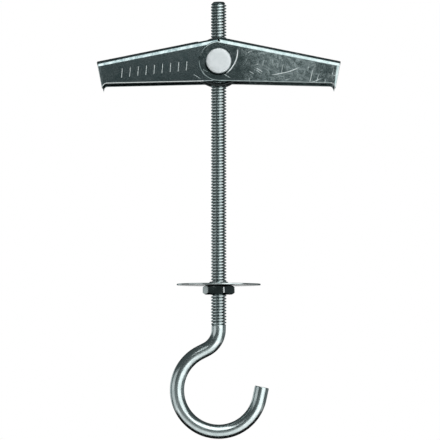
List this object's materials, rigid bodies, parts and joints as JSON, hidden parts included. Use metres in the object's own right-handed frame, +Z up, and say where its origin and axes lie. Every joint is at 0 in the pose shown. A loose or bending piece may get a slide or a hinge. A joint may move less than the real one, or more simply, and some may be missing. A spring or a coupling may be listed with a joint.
{
  "type": "toggle anchor",
  "caption": "Spring toggle anchor for hollow ceilings: threaded rod with an open hook, sprung folding wings on a cross nut, centring washer and clamping hex nut.",
  "frame": {"origin": "on the rod's axis in the plane of the washer's upper face, which is the underside of the ceiling it hangs from", "axes": "+Z up along the rod to its threaded end, +X along the right wing, hook below opening to +X"},
  "size_m": [0.0634, 0.0218, 0.1137],
  "materials": {
    "zinc_rod": "bright zinc plated wire with a rolled thread",
    "zinc_cross_nut": "bright zinc plated turned steel with matte peened heads",
    "zinc_wings": "bright zinc plated pressed sheet with fine scratches",
    "spring_steel": "bright drawn spring wire",
    "zinc_washer": "bright zinc plated pressed sheet",
    "zinc_hex_nut": "bright zinc plated steel"
  },
  "bodies": {
    "rod": {"hook_rod": "zinc_rod"},
    "toggle": {"cross_nut": "zinc_cross_nut", "spring": "spring_steel"},
    "right_arm": {"right_wing": "zinc_wings"},
    "left_arm": {"left_wing": "zinc_wings"},
    "clamp_washer": {"washer": "zinc_washer"},
    "clamp_nut": {"hex_nut": "zinc_hex_nut"}
  },
  "joints": [
    {"name": "toggle_travel", "type": "slide", "parent": "rod", "child": "toggle", "axis": [0, 0, 1], "range_m": [-0.009, 0.009]},
    {"name": "right_wing_fold", "type": "hinge", "parent": "toggle", "child": "right_arm", "pos_m": [0, 0, 0.0576], "axis": [0, 1, 0], "range_deg": [0, 80], "stiffness_Nm_per_rad": 0.03, "springref_deg": -20.05, "deforming": ["spring"]},
    {"name": "left_wing_fold", "type": "hinge", "parent": "toggle", "child": "left_arm", "pos_m": [0, 0, 0.0576], "axis": [0, -1, 0], "range_deg": [0, 80], "stiffness_Nm_per_rad": 0.03, "springref_deg": -20.05, "deforming": ["spring"]},
    {"name": "washer_travel", "type": "slide", "parent": "rod", "child": "clamp_washer", "axis": [0, 0, 1], "range_m": [-0.008, 0.0145]},
    {"name": "nut_turn", "type": "hinge", "parent": "clamp_washer", "child": "clamp_nut", "pos_m": [0, 0, -0.0015], "axis": [0, 0, 1], "range_deg": [-3735, 6765]}
  ],
  "couplings": [
    {"joint": "nut_turn", "follows": "washer_travel", "rad_per_m": 8138.8}
  ]
}
